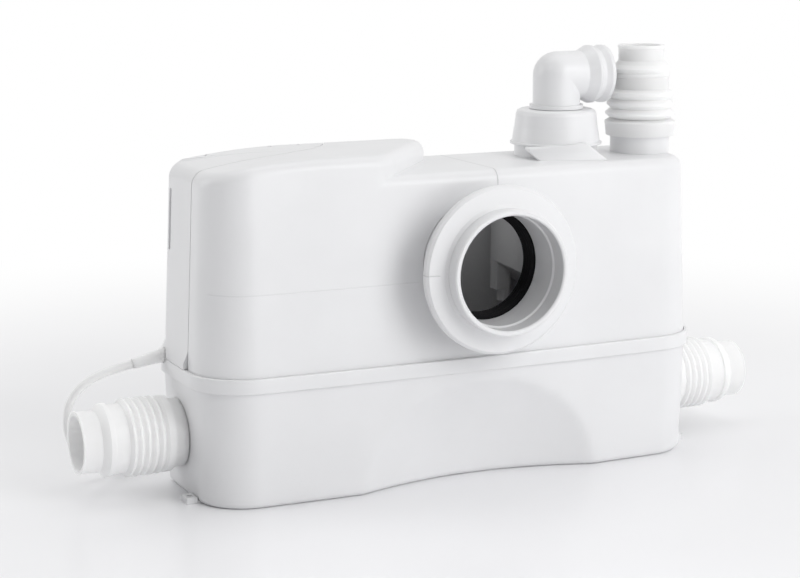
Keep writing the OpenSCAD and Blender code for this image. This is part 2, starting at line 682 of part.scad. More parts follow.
// The valve body is round at both ends, sloped off below, and carries small bosses under its left end
valve_slope = 33;
valve_long = 16;
valve_foot_z = socket_z - 25;
module valve_body() color(grey) difference() {
    union() {
        difference() {
            at_outlet(valve_foot_z) linear_extrude(deck_z - edge_r - valve_foot_z) {
                circle(valve_r);
                translate([-valve_long, 0]) circle(valve_r);
                translate([-valve_long, -valve_r]) square([valve_long, 2 * valve_r]);
            }
            translate([outlet_x - valve_r - valve_long, 0, socket_z + 17]) rotate([0, valve_slope, 0])
                translate([-100, -100, -200]) cube([400, 200, 200]);
        }
        at_outlet(deck_z - edge_r - 1) cylinder(r = valve_r - 4, h = valve_top_z - deck_z + edge_r + 1);
        at_outlet(valve_top_z - 1) cylinder(r = neck_r, h = deck_z + pedestal_h - valve_top_z + 1);
        translate([-44, 8, -18]) at_outlet(socket_z) cylinder(r = 6, h = 45);
        translate([-54, 2, -8]) at_outlet(socket_z) cube([9, 12, 40]);
    }
    at_outlet(chamber_top_z - 1) cylinder(r = elbow_r + play, h = 60);
    at_outlet(seat_z) cylinder(r = chamber_r, h = chamber_top_z - seat_z);
    at_outlet(socket_z - 60) cylinder(r = pipe_r + 0.2, h = 60 + gap);
    at_outlet(socket_z) cylinder(r = pipe_bore_r, h = seat_z - socket_z + 1);
    rod_x([outlet_x - 26, outlet_y + valve_pin_y, valve_pin_z], pin_r + play, 52);
}
module valve_flap() color("dimgray") {
    at_outlet(seat_z + 0.4) cylinder(r = valve_flap_r, h = 3);
    translate([outlet_x - 8, outlet_y + 8, seat_z + 0.9]) cube([16, valve_pin_y - 8, 2.5]);
    rod_x([outlet_x - 12, outlet_y + valve_pin_y, valve_pin_z], 3, 24);
    rod_x([outlet_x - 25, outlet_y + valve_pin_y, valve_pin_z], pin_r, 50);
}

// Internal pipe, laid out in a frame turned about the pump shaft so that it runs along X
module pipe_frame() translate([-pump_x, 0, 0]) rotate([0, 0, -pipe_turn]) children();
module pipe_form(r, from) {
    rod_x([from, tangent_r, outlet_z], r, pipe_len - bend_r - from);
    translate([pipe_len - bend_r, tangent_r, outlet_z + bend_r]) rotate([90, 0, 0]) rotate([0, 0, -90])
        rotate_extrude(angle = 90) translate([bend_r, 0]) circle(r);
    rod_z([pipe_len, tangent_r, outlet_z + bend_r], r, socket_z - outlet_z - bend_r);
}
module discharge_pipe() color(grey) pipe_frame() difference() {
    pipe_form(pipe_r, joint_at);
    pipe_form(pipe_bore_r, joint_at - 1);
    rod_z([pipe_len, tangent_r, socket_z - 1], pipe_bore_r, 2);
}
module pipe_sleeve() color("dimgray") pipe_frame() difference() {
    rod_x([joint_at - 16, tangent_r, outlet_z], pipe_r + 4, 32);
    rod_x([joint_at - 17, tangent_r, outlet_z], pipe_r + gap, 34);
}

// Macerating pump: casing with its column, cutting ring below, cutter and impeller on the shaft
module at_pump(z) translate([-pump_x, 0, z]) children();
module pump_casing() color("gray") difference() {
    union() {
        at_pump(casing_z) cylinder(r = casing_r, h = casing_top_z - casing_z);
        at_pump(casing_top_z - 1) cylinder(r = column_r, h = plate_z - casing_top_z + 1);
        pipe_frame() rod_x([10, tangent_r, outlet_z], pipe_r, joint_at - 10);
    }
    at_pump(casing_z - 1) cylinder(r = impeller_r + 4, h = chamber_roof_z - casing_z + 1);
    at_pump(casing_z) cylinder(r = shaft_r + 2, h = plate_z);
    at_pump(plate_z - seal_h - 1) cylinder(r = seal_r, h = seal_h + 2);
    pipe_frame() rod_x([12, tangent_r, outlet_z], pipe_bore_r, joint_at);
}
module cutter_ring() color("silver") difference() {
    at_pump(cutter_z) cylinder(r = casing_r, h = casing_z - cutter_z);
    at_pump(cutter_z - 1) cylinder(r = suction_r, h = casing_z - cutter_z + 2);
    for (a = [0:45:315]) at_pump(cutter_z - 1) rotate([0, 0, a])
        translate([suction_r, 0, 0]) cylinder(r = 3.5, h = casing_z - cutter_z + 2);
}
module shaft_hole(from, len) at_pump(from) cylinder(r = shaft_r + play, h = len);
module cutter() color("silver") difference() {
    union() {
        at_pump(cutter_z + 1) cylinder(r = shaft_r + 4, h = 10);
        for (a = [0:120:240]) at_pump(cutter_z + 1) rotate([0, 0, a]) linear_extrude(5)
            polygon([[0, -4], [suction_r - 1.2, -2], [suction_r - 1.2, 3], [0, 6]]);
    }
    shaft_hole(cutter_z, 20);
}
module impeller() color("gray") difference() {
    bend = 26;
    union() {
        at_pump(casing_z + 4) cylinder(r = shaft_r + 5, h = 18);
        at_pump(casing_z + 18) cylinder(r = impeller_r, h = 4);
        intersection() {
            at_pump(casing_z + 4) cylinder(r = impeller_r, h = 18);
            for (a = [0:60:300]) at_pump(casing_z + 5) rotate([0, 0, a]) translate([0, bend, 0])
                rotate([0, 0, -90]) rotate_extrude(angle = 95) translate([bend - 1.2, 0]) square([2.4, 14]);
        }
    }
    shaft_hole(casing_z, 40);
}
module motor_shaft() color("silver") at_pump(cutter_z + 2)
    cylinder(r = shaft_r, h = can_top_z + bearing_h - gap - cutter_z - 2);

// Motor: can on the plate, stator and windings pressed in it, rotor on the shaft
module motor_screw_places() for (a = [45:90:315])
    at_pump(0) rotate([0, 0, a]) translate([screw_ring_r, 0, 0]) children();
module motor_can() color("silver") difference() {
    union() {
        at_pump(plate_z) cylinder(r = motor_flange_r, h = flange_t);
        at_pump(plate_z) cylinder(r = motor_r, h = can_top_z - plate_z);
    }
    at_pump(can_floor_z) cylinder(r = motor_r - can_wall, h = can_top_z);
    at_pump(can_floor_z - bearing_h) cylinder(r = bearing_r, h = bearing_h + 1);
    at_pump(plate_z - 1) cylinder(r = shaft_r + 2, h = 10);
    motor_screw_places() rod_z([0, 0, plate_z - 1], screw_r + 0.2, flange_t + 2);
}
module motor_cap() color("silver") at_pump(can_top_z) rotate_extrude() polygon([
    [0, bearing_h + 0.3], [bearing_r, bearing_h + 0.3], [bearing_r, 0], [motor_r, 0], [motor_r, 4],
    [motor_r - 4, cap_h - 4], [motor_r - 18, cap_h], [0, cap_h]]);
module bearing(z) ring_z([-pump_x, 0, z], bearing_r - play, shaft_r + play, bearing_h);
module lower_bearing() color("silver") bearing(can_floor_z - bearing_h);
module upper_bearing() color("silver") bearing(can_top_z);
module shaft_seal() color("black")
    ring_z([-pump_x, 0, plate_z - seal_h], seal_r - play, shaft_r + play, seal_h - gap);
module stator() color("dimgray")
    ring_z([-pump_x, 0, stator_z], motor_r - can_wall - 0.1, rotor_r + air_gap, stator_h);
module windings() color("peru") for (z = [stator_z - winding_h, stator_z + stator_h])
    ring_z([-pump_x, 0, z], motor_r - can_wall - 3, rotor_r + 3, winding_h);
module rotor_core() color("dimgray")
    ring_z([-pump_x, 0, stator_z - 2], rotor_r, shaft_r + play, stator_h + 4);
module motor_screws() color("silver") motor_screw_places() {
    rod_z([0, 0, rim_z], screw_r, plate_t + flange_t + 1);
    rod_z([0, 0, plate_z + flange_t], screw_r + 1.2, 3.5);
}

// Level sensing: an open tube traps air, whose pressure lifts the plunger of the switch
module level_tube() color(grey) difference() {
    union() {
        rod_z([level_x, level_y, level_foot_z], level_r, rim_z - level_foot_z);
        rod_z([level_x, level_y, rim_z - 1], level_spout_r, switch_z + 4 - rim_z + 1);
    }
    rod_z([level_x, level_y, level_foot_z - 1], level_r - level_wall, rim_z - level_foot_z - 3);
    rod_z([level_x, level_y, rim_z - 50], level_spout_r - level_wall, switch_z);
}
module pressure_switch() color("black") difference() {
    union() {
        rod_z([level_x, level_y, switch_z], switch_r, switch_h);
        rod_z([level_x, level_y, plate_z], level_spout_r + 3, switch_z - plate_z + 1);
        translate([level_x - 12, level_y - 17, switch_z + switch_h - 1]) cube([24, 12, 13]);
    }
    rod_z([level_x, level_y, plate_z - 1], level_spout_r + gap, switch_z - plate_z + 6);
    rod_z([level_x, level_y, switch_z + switch_h - 6], plunger_r + play, 10);
}
module switch_plunger() color("white") {
    rod_z([level_x, level_y, switch_z + switch_h - 5.5], plunger_r, 7.5);
    rod_z([level_x, level_y, switch_z + switch_h + 2], plunger_r + 1.2, 1.5);
}
module capacitor() color("gainsboro") {
    rod_z([capacitor_at[0], capacitor_at[1], plate_z], capacitor_r, capacitor_h);
    for (x = [-5, 5])
        translate([capacitor_at[0] + x - tab[0] / 2, capacitor_at[1] - tab[1] / 2, plate_z + capacitor_h - 1])
            cube(tab);
}
module circuit_board() color("seagreen") {
    relay = [9, 16, 20];
    terminals = [7, 20, 12];
    lamp = [6, 4];
    join = 0.5;
    translate([board_x, board_y, plate_z]) cube(board);
    translate([board_x - relay[0], board_y + 5, plate_z + 12]) cube(relay + [join, 0, 0]);
    translate([board_x - terminals[0], board_y + 4, plate_z + 42]) cube(terminals + [join, 0, 0]);
    rod_x([board_x - lamp[0], board_y + 14, plate_z + 63], lamp[1], lamp[0] + join);
}
module vent_filter() color("dimgray") difference() {
    rod_z([vent_at[0], vent_at[1], plate_z], vent_r, 16);
    rod_z([vent_at[0], vent_at[1], plate_z - 1], vent_r - 4, 10);
    for (y = [-4, 0, 4]) translate([vent_at[0] - 6, vent_at[1] + y - 0.8, plate_z + 8]) cube([12, 1.6, 10]);
}

// Mains lead: gland with its tapered boot, free stretch, coil, tail and plug
boot_dir = cord_route[0] - boot_root;
boot_fall = atan2(-boot_dir[2], -boot_dir[0]);
module cable_gland() color(white) {
    rod_x([boot_root[0], gland_y, gland_z], gland_r, gland_x + gland_in - boot_root[0]);
    translate(boot_root) sphere(r = gland_r);
    translate(boot_root) rotate([0, -90 - boot_fall, 0])
        cylinder(r1 = gland_r - 0.6, r2 = cord_r + 0.7, h = norm(boot_dir));
}
module power_cord() color(white) loft(tube_rings(cord_route, cord_r, 10, [0, 1, 0]));

// The coil winds in and out again, and climbs a layer in the half turn where it reverses
coil_turn = coil_loops * 360;
function coil_at(s) = let (a = s * coil_turn, back = abs(a - coil_turn / 2))
    let (r = coil_in_r + coil_pitch * back / 360)
    let (climb = min(1, max(0, (a - coil_turn / 2 + 90) / 180)))
    [coil_x + r * sin(a), coil_y - r * cos(a), coil_z + coil_pitch * climb];
coil_points = [for (i = [0:coil_loops * coil_steps]) coil_at(i / (coil_loops * coil_steps))];
least = min([for (i = [0:len(coil_points) - 1]) for (j = [i + coil_steps / 2:1:len(coil_points) - 1])
    norm(coil_points[i] - coil_points[j])]) - cord_d;
echo(str("least gap of the coil to itself: ", least));
module cord_coil() color(white) loft(tube_rings(coil_points, cord_r, 6, [0, 0, 1]));
module cord_tail() color(white) loft(tube_rings(tail_route, cord_r, 10, [0, 0, 1]));
module cord_tie() color("dimgray") {
    in_r = coil_in_r - cord_r - 1;
    out_r = coil_out_r + cord_r + 0.5;
    high = coil_z + coil_pitch + cord_r + 0.5;
    translate([coil_x - 4, coil_y + in_r - tie_t, 0]) difference() {
        cube([8, out_r - in_r + 2 * tie_t, high + tie_t]);
        translate([-1, tie_t, tie_t]) cube([10, out_r - in_r, high - tie_t]);
    }
}
plug_len = 60;
module plug() color(white) difference() {
    translate(plug_at) rotate([0, 90, 0]) rotate_extrude() polygon([
        [0, 0], [cord_r + 0.7, 0], [6.5, 24], [9, 26], [plug_r - 2, 36], [plug_r, 39],
        [plug_r, plug_len - 1.5], [plug_r - 1.5, plug_len], [0, plug_len]]);
    for (z = [-plug_r - 1, plug_r - 2]) translate(plug_at + [plug_len - 18, -3, z]) cube([20, 6, 3]);
}
module plug_pins() color("silver") for (y = [-9.5, 9.5]) {
    rod_x(plug_at + [plug_len, y, 0], 2.4, 17);
    translate(plug_at + [plug_len + 17, y, 0]) sphere(r = 2.4);
}

tank();
floor_lugs();
rim_gasket();
upper_housing();
service_cover();
pump_deck();
inlet_collar();
inlet_seal();
left_connector();
right_connector();
top_connector();
left_flap_frame();
left_flap();
right_flap_frame();
right_flap();
discharge_cap();
discharge_elbow();
elbow_seal();
valve_body();
valve_flap();
discharge_pipe();
pipe_sleeve();
pump_casing();
cutter_ring();
cutter();
impeller();
motor_shaft();
rotor_core();
stator();
windings();
motor_can();
motor_cap();
lower_bearing();
upper_bearing();
shaft_seal();
motor_screws();
level_tube();
pressure_switch();
switch_plunger();
capacitor();
circuit_board();
vent_filter();
cable_gland();
power_cord();
cord_coil();
cord_tail();
cord_tie();
plug();
plug_pins();
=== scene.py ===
import json
import math

import bpy
import numpy as np
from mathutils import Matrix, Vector


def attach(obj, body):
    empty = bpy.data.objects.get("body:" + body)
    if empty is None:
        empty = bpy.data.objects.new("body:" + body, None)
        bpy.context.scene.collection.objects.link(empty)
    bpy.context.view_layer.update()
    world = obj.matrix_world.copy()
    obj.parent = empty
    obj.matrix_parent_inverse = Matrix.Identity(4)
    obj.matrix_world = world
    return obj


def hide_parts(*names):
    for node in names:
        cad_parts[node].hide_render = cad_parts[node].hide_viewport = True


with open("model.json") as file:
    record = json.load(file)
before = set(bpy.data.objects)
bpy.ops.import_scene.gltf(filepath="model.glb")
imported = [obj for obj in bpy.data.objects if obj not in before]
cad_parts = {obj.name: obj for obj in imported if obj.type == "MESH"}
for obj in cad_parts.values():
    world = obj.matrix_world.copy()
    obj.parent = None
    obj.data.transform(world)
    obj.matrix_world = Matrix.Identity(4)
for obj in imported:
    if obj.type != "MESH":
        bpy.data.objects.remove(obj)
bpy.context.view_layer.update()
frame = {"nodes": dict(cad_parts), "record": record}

nodes = frame["nodes"]
scene = bpy.context.scene

# Camera: worked out from the straight and round edges of the object in the photograph
CAMERA_AT = (-0.71697, -1.44144, 0.45922)
CAMERA_TURN = -25.33
CAMERA_FALL = 10.88
CAMERA_LENS = 88.90


def add_camera():
    """The photograph's camera: its place in metres, its turn and fall in degrees, its lens in millimetres."""
    data = bpy.data.cameras.new("camera")
    data.lens = CAMERA_LENS
    data.sensor_width = 36.0
    data.clip_end = 60.0
    camera = bpy.data.objects.new("camera", data)
    camera.location = CAMERA_AT
    camera.rotation_euler = (math.radians(90 - CAMERA_FALL), 0, math.radians(CAMERA_TURN))
    scene.collection.objects.link(camera)
    scene.camera = camera


add_camera()

# Sizes of the moulded shells, in metres, by the same rules as the solids
HALF_W, HALF_D, CORNER_R, REAR_R, FRONT_BOW = 0.226, 0.066, 0.045, 0.022, 0.004
WALL, EDGE_R, LEDGE, GAP = 0.0035, 0.010, 0.0035, 0.0003
BAND_Z, RIM_Z, TONGUE_Z, DECK_Z, HUMP_Z = 0.093, 0.105, 0.101, 0.255, 0.271
BAND_OUT, FOOT_R, FLOOR_T, GROOVE_DEEP = 0.003, 0.005, 0.004, 0.006
RIM_IN_W, RIM_IN_DEEP = 0.006, 0.008
TANK_SLOPE = math.tan(math.radians(1.5))
HOUSE_SLOPE = math.tan(math.radians(2.5))
SCOOP_W, SCOOP_H, SCOOP_D = 0.105, 0.086, 0.021
HUMP_FRONT_X, HUMP_BACK_X, HUMP_FLAT_X, HUMP_FALL = -0.063, 0.046, -0.115, 0.009
HUMP_FRONT_R, HUMP_BACK_R, HUMP_PROUD = 0.040, 0.030, 0.00002
SEAM_X, SEAM_Y, SEAM_R, SEAM_GAP = -0.165, 0.008, 0.090, 0.0009
LIP_T, LIP_HALF_W, LIP_FOOT_Z = 0.0025, 0.007, 0.111
INLET_X, INLET_Z, INLET_HOLE_R, INLET_HOLE_RUN = 0.011, 0.180, 0.0533, 0.110
OUTLET_X, OUTLET_Y, OUTLET_FOOT_R, OUTLET_FOOT_H = 0.116, 0.010, 0.035, 0.011
OUTLET_HOLE_R, OUTLET_HOLE_RUN = 0.0303, 0.024
TOP_X, TOP_SPOUT_R, TOP_SPOUT_H, TOP_HOLE_R, TOP_HOLE_RUN = 0.193, 0.0252, 0.028, 0.0217, 0.041
GLAND_X, GLAND_Y, GLAND_Z, GLAND_R, GLAND_RUN = -0.236, 0.042, 0.107, 0.0063, 0.040
# Heights of the forms that the housing and the cover are cut from: foot, middle of the wall, top of the hump's wall
FORM_FOOT_Z, FORM_MID_Z, HUMP_WALL_Z = 0.061, 0.15, 0.235
# An upright cut of this height passes the whole housing; a clearing cut starts lower and ends higher
CUT_RUN, CLEAR_FOOT_Z, CLEAR_RUN = 0.3, 0.1, 0.4
# A piece that stands on another starts this far inside it, and a hole through the deck this far below its top
SINK, HOLE_FROM = 0.001, 0.007
# Side ports of the tank, and the bars that make one: start from the wall, radius, length and use
PORT_Y, PORT_Z = 0.018, 0.049
PORT_BARS = ((-0.006, 0.029, 0.005, "UNION"), (-0.002, 0.022, 0.028, "UNION"), (-0.007, 0.019, 0.056, "DIFFERENCE"))
# Cuts under the tank for the tongues of the floor lugs, on the right, and the ribs on the rear wall inside
LUG_X, LUG_Y, LUG_Z = (0.2047, 0.2447), (-0.0223, -0.0077), (-0.001, 0.0022)
RIB_X = -0.175 + 0.05 * np.arange(8)
RIB_T, RIB_FOOT_DEEP, RIB_HEAD_DEEP, RIB_HEAD_Z = 0.003, 0.004, 0.002, 0.081
# Service cover: its skirt, the slots in its top, the upright groove in its left end and the notch for the gland
SKIRT_BAND_H, SKIRT_H = 0.0047, 0.014
VENT_X, VENT_SLANT, VENT_R = (-0.187, -0.132, -0.107), (0.005, 0.006), 0.0012
FINGER_X, FINGER_R, SLOT_IN, SLOT_FOOT_Z, SLOT_RUN = (-0.096, -0.086), 0.0015, 0.018, 0.250, 0.03
GROOVE_FROM_X, GROOVE_Y, GROOVE_Z, GROOVE_R, GROOVE_IN = -0.24, 0.041, (0.195, 0.240), 0.0022, 0.0012
NOTCH_X, NOTCH_FOOT_Z, NOTCH_RUN = -0.231, 0.099, 0.03


# Mesh helpers
def add_mesh(name, points, faces, material):
    """A smooth mesh object at the origin from an array of points and a list or array of faces."""
    mesh = bpy.data.meshes.new(name)
    mesh.from_pydata(points, [], faces)
    mesh.update()
    mesh.polygons.foreach_set("use_smooth", np.ones(len(mesh.polygons), bool))
    mesh.materials.append(material)
    piece = bpy.data.objects.new(name, mesh)
    scene.collection.objects.link(piece)
    return piece


def grid_faces(rows, columns):
    """Quads that join neighbouring rows of a grid of points, with the last column joined to the first."""
    row, column = np.meshgrid(np.arange(rows - 1), np.arange(columns), indexing="ij")
    across = (column + 1) % columns
    corners = [row * columns + column, row * columns + across,
               (row + 1) * columns + across, (row + 1) * columns + column]
    return np.stack(corners, axis=-1).reshape(-1, 4)


def add_solid(name, rings, material):
    """A closed solid through a stack of rings of points: quads join neighbouring rings, and a flat face closes
    each end. The rings run anticlockwise seen from the last one."""
    rows, columns = rings.shape[:2]
    faces = grid_faces(rows, columns).tolist()
    faces += [list(range(columns))[::-1], list(range((rows - 1) * columns, rows * columns))]
    return add_mesh(name, rings.reshape(-1, 3), faces, material)


def combine(piece, tool, operation):
    """The union, difference or common part of two closed solids, left in the first one."""
    step = piece.modifiers.new("combine", "BOOLEAN")
    step.operation = operation
    step.solver = "MANIFOLD"
    step.object = tool
    depsgraph = bpy.context.evaluated_depsgraph_get()
    mesh = bpy.data.meshes.new_from_object(piece.evaluated_get(depsgraph))
    piece.modifiers.clear()
    piece.data = mesh
    bpy.data.objects.remove(tool)
    return piece


def through_points(points, per_span):
    """A smooth curve through points: each span is the cubic that leaves and meets its ends along the chord
    between their neighbours."""
    p = np.vstack([2 * points[0] - points[1], points, 2 * points[-1] - points[-2]])
    t = (np.arange(per_span) / per_span)[None, :, None]
    a, b, c, d = (p[i:len(p) - 3 + i, None, :] for i in range(4))
    curve = b + 0.5 * t * (c - a + t * (2 * a - 5 * b + 4 * c - d + t * (3 * (b - c) + d - a)))
    return np.vstack([curve.reshape(-1, 3), points[-1]])


def tube(points, radius, sides):
    """Circles of one radius set square to a path, as a grid of points. Each circle's first direction is square to
    Y, and passes over to a level one where the path runs along Y."""
    ahead = np.gradient(points, axis=0)
    ahead /= np.linalg.norm(ahead, axis=1, keepdims=True)
    side = np.cross((0.0, 1.0, 0.0), ahead)
    flat_side = np.cross(ahead, (0.0, 0.0, 1.0))
    flat_side *= np.sign(np.sum(flat_side * side, axis=1, keepdims=True) + 1e-9)
    share = np.clip((np.abs(ahead[:, 1:2]) - 0.5) / 0.3, 0, 1)
    side = side * (1 - share) + flat_side * share
    side /= np.linalg.norm(side, axis=1, keepdims=True)
    up = np.cross(ahead, side)
    turn = np.linspace(0, 2 * np.pi, sides, endpoint=False)
    ring = np.cos(turn)[None, :, None] * side[:, None] + np.sin(turn)[None, :, None] * up[:, None]
    return points[:, None] + radius * ring


# Shader helpers
class Field:
    """A value that varies over a surface: a shader socket with plain arithmetic on it."""

    def __init__(self, tree, socket):
        self.tree = tree
        self.socket = socket

    def node(self, kind, *inputs, out=0, **settings):
        """A new node of a kind; a field among its inputs is linked and a number is set."""
        made = self.tree.nodes.new(kind)
        for key, value in settings.items():
            setattr(made, key, value)
        for slot, value in zip(made.inputs, inputs):
            if isinstance(value, Field):
                self.tree.links.new(value.socket, slot)
            elif value is not None:
                slot.default_value = value
        return Field(self.tree, made.outputs[out])

    def math(self, operation, *inputs):
        return self.node("ShaderNodeMath", *inputs, operation=operation)

    def __add__(self, other):
        return self.math("ADD", self, other)

    def __sub__(self, other):
        return self.math("SUBTRACT", self, other)

    def __rsub__(self, other):
        return self.math("SUBTRACT", other, self)

    def __mul__(self, other):
        return self.math("MULTIPLY", self, other)

    def __pow__(self, other):
        return self.math("POWER", self, other)

    def __abs__(self):
        return self.math("ABSOLUTE", self)

    __radd__ = __add__
    __rmul__ = __mul__

    def sine(self):
        return self.math("SINE", self)

    def ramp(self, low, high):
        """0 below low, 1 above high and a smooth step between; low may be the larger one."""
        return self.node("ShaderNodeMapRange", self, low, high, 0.0, 1.0, interpolation_type="SMOOTHSTEP")


class Finish:
    """A procedural material: one Principled shader, whose colour, roughness and relief come from fields."""

    def __init__(self, name, **constants):
        self.material = bpy.data.materials.new(name)
        self.material.use_nodes = True
        tree = self.material.node_tree
        self.shader = tree.nodes["Principled BSDF"]
        for key, value in constants.items():
            self.shader.inputs[key.replace("_", " ")].default_value = value
        coordinates = tree.nodes.new("ShaderNodeTexCoord")
        self.place = Field(tree, coordinates.outputs["Object"])
        axes = [self.place.node("ShaderNodeSeparateXYZ", self.place, out=i) for i in range(3)]
        self.x, self.y, self.z = axes

    def noise(self, scale, detail=2.0):
        """Cloudy noise from about 0.3 to 0.7, with features of about one over scale metres."""
        return self.place.node("ShaderNodeTexNoise", self.place, None, scale, detail)

    def speckle(self, scale):
        """Distance to the nearest of many scattered points, in steps of one over scale metres."""
        return self.place.node("ShaderNodeTexVoronoi", self.place, None, scale)

    def feed(self, name, field):
        """Links a field to one of the shader's inputs."""
        self.place.tree.links.new(field.socket, self.shader.inputs[name])

    def colour(self, share, low, high):
        """Base colour between two colours by a field."""
        mixed = share.node("ShaderNodeMix", share, None, None, None, None, None, (*low, 1.0), (*high, 1.0),
                           data_type="RGBA", out=2)
        self.feed("Base Color", mixed)

    def relief(self, height, distance, edge=0.0):
        """Bumps: a height field from 0 to 1 that stands for a real distance. Creases may be softened by a radius."""
        soft = height.node("ShaderNodeBevel", edge, samples=8) if edge else None
        self.feed("Normal", height.node("ShaderNodeBump", 1.0, distance, None, height, soft))


def plain_plastic(name, low, high, rough, grain, depth, **constants):
    """Moulded plastic: cloudy tone, fine grain and a roughness that wanders a little."""
    finish = Finish(name, **constants)
    cloud = finish.noise(9.0, 3.0)
    fine = finish.noise(grain, 2.0)
    finish.colour(cloud.ramp(0.3, 0.7) * 0.8 + fine * 0.2, low, high)
    finish.feed("Roughness", fine * 0.08 + cloud * 0.06 + (rough - 0.07))
    finish.relief(fine, depth)
    return finish.material


def moulded_shell(name, edge):
    """Glossy white moulding with softened edges. Fine parting lines of the mould run level along the front, with
    a tick at each side of the inlet flange, and upright above the flange to the deck."""
    wall_line_z, flange_step, upright_x, flange_r = 0.1695, 0.011, 0.0255, 0.055
    line_width = (0.0007, 0.0002)
    finish = Finish(name)
    cloud = finish.noise(9.0, 3.0)
    fine = finish.noise(900.0, 2.0)
    on_flange = finish.y.ramp(-HALF_D, -HALF_D - 0.004)
    on_front = finish.y.ramp(-0.034, -0.040)
    height = finish.z - wall_line_z - on_flange * flange_step
    beside = abs(finish.x - INLET_X).ramp(flange_r, flange_r + 0.003) * finish.x.ramp(0.10, -0.06)
    level_line = abs(height).ramp(*line_width) * on_front * beside * (0.3 + on_flange * 0.5)
    above = finish.z.ramp(0.200, 0.202)
    upright_line = abs(finish.x - upright_x).ramp(*line_width) * above * (1.0 - on_flange)
    line = level_line + upright_line
    finish.colour((cloud.ramp(0.3, 0.7) * 0.15 + fine * 0.05 + 0.8) * (1.0 - line * 0.9),
                  (0.60, 0.60, 0.61), (0.83, 0.832, 0.842))
    finish.feed("Roughness", fine * 0.08 + cloud * 0.06 + 0.23)
    finish.relief(fine * 0.1 + line, 0.0003, edge)
    return finish.material


white_shell = moulded_shell("white_shell", 0.0009)
white_collar = moulded_shell("white_collar", 0.0004)
white_inside = plain_plastic("white_inside", (0.79, 0.79, 0.796), (0.83, 0.83, 0.836), 0.45, 900.0, 0.00003)
white_rubber = plain_plastic("white_rubber", (0.90, 0.90, 0.898), (0.93, 0.93, 0.928), 0.45, 700.0, 0.00006,
                             Subsurface_Weight=1.0, Subsurface_Radius=(1.0, 1.0, 1.0), Subsurface_Scale=0.008)
white_cord = plain_plastic("white_cord", (0.89, 0.89, 0.888), (0.92, 0.92, 0.918), 0.42, 1200.0, 0.00004)
white_fitting = plain_plastic("white_fitting", (0.77, 0.77, 0.76), (0.81, 0.81, 0.80), 0.35, 900.0, 0.00003)
black_rubber = plain_plastic("black_rubber", (0.004, 0.004, 0.005), (0.009, 0.009, 0.010), 0.5, 600.0, 0.00006,
                             Specular_IOR_Level=0.12)
grey_plastic = plain_plastic("grey_plastic", (0.57, 0.57, 0.575), (0.63, 0.63, 0.635), 0.45, 700.0, 0.00005)
# A lighter copy of the grey plastic, for the parts seen through the inlet: painted light that lifts the shade inside
# the housing.
grey_with_painted_light = plain_plastic("grey_with_painted_light", (0.70, 0.70, 0.705), (0.75, 0.75, 0.755), 0.45, 700.0, 0.00005)
black_plastic = plain_plastic("black_plastic", (0.02, 0.02, 0.021), (0.035, 0.035, 0.036), 0.42, 800.0, 0.00004)


def turned_steel():
    """Machined steel with fine marks that run round the shaft."""
    finish = Finish("turned_steel", Metallic=1.0)
    marks = (finish.z * 5200.0 + finish.noise(60.0) * 8.0).sine()
    cloud = finish.noise(30.0)
    finish.colour(cloud.ramp(0.3, 0.7), (0.45, 0.455, 0.46), (0.58, 0.585, 0.59))
    finish.feed("Roughness", marks * 0.05 + cloud * 0.1 + 0.25)
    finish.relief(marks * 0.5 + 0.5, 0.00001)
    return finish.material


def drawn_can():
    """Drawn motor can: faint upright draw marks in pale metal."""
    finish = Finish("drawn_can", Metallic=1.0)
    streak = finish.place.node("ShaderNodeTexWave", finish.place, 90.0, 6.0, 2.0, bands_direction="X", out=1)
    cloud = finish.noise(25.0)
    finish.colour(cloud.ramp(0.3, 0.7), (0.55, 0.56, 0.57), (0.66, 0.67, 0.68))
    finish.feed("Roughness", streak * 0.08 + cloud * 0.1 + 0.3)
    finish.relief(streak, 0.00001)
    return finish.material


def stacked_sheet():
    """Laminations: dark sheets stacked half a millimetre apart."""
    finish = Finish("stacked_sheet", Metallic=0.6)
    sheets = (finish.z * (2 * math.pi / 0.0005)).sine() * 0.5 + 0.5
    finish.colour(sheets, (0.03, 0.03, 0.032), (0.10, 0.10, 0.105))
    finish.feed("Roughness", sheets * 0.2 + 0.4)
    finish.relief(sheets, 0.00005)
    return finish.material


def wound_copper():
    """Windings: turns of enamelled wire lying side by side, darker in the grooves between the turns as painted shade.
    """
    finish = Finish("wound_copper", Metallic=0.9, Coat_Weight=0.6)
    turns = (finish.z * (2 * math.pi / 0.0009) + finish.noise(200.0) * 3.0).sine() * 0.5 + 0.5
    # Painted shade: the colour darkens in the grooves between turns, with the plain copper on the crests.
    finish.colour(turns, (0.25, 0.09, 0.03), (0.62, 0.26, 0.10))
    finish.feed("Roughness", turns * 0.15 + 0.25)
    finish.relief(turns, 0.0003)
    return finish.material


def coated_board():
    """Circuit board: green coat with fine paths at right angles and small pads."""
    finish = Finish("coated_board", Coat_Weight=0.5)
    paths = (finish.y * 2400.0).sine().ramp(0.6, 0.9) * (finish.z * 500.0).sine().ramp(-0.2, 0.2)
    pads = 1.0 - finish.speckle(260.0).ramp(0.15, 0.25)
    finish.colour(paths * 0.5 + pads * 0.5, (0.01, 0.08, 0.03), (0.10, 0.26, 0.12))
    finish.feed("Roughness", pads * 0.2 + 0.3)
    finish.relief(paths, 0.00004)
    return finish.material


def plated_brass():
    """Plated contact metal with fine scratches along the pins."""
    finish = Finish("plated_brass", Metallic=1.0)
    scratch = finish.place.node("ShaderNodeTexWave", finish.place, 300.0, 8.0, 3.0, bands_direction="Y", out=1)
    finish.colour(finish.noise(80.0).ramp(0.3, 0.7), (0.60, 0.57, 0.50), (0.72, 0.70, 0.64))
    finish.feed("Roughness", scratch * 0.1 + 0.2)
    finish.relief(scratch, 0.00001)
    return finish.material


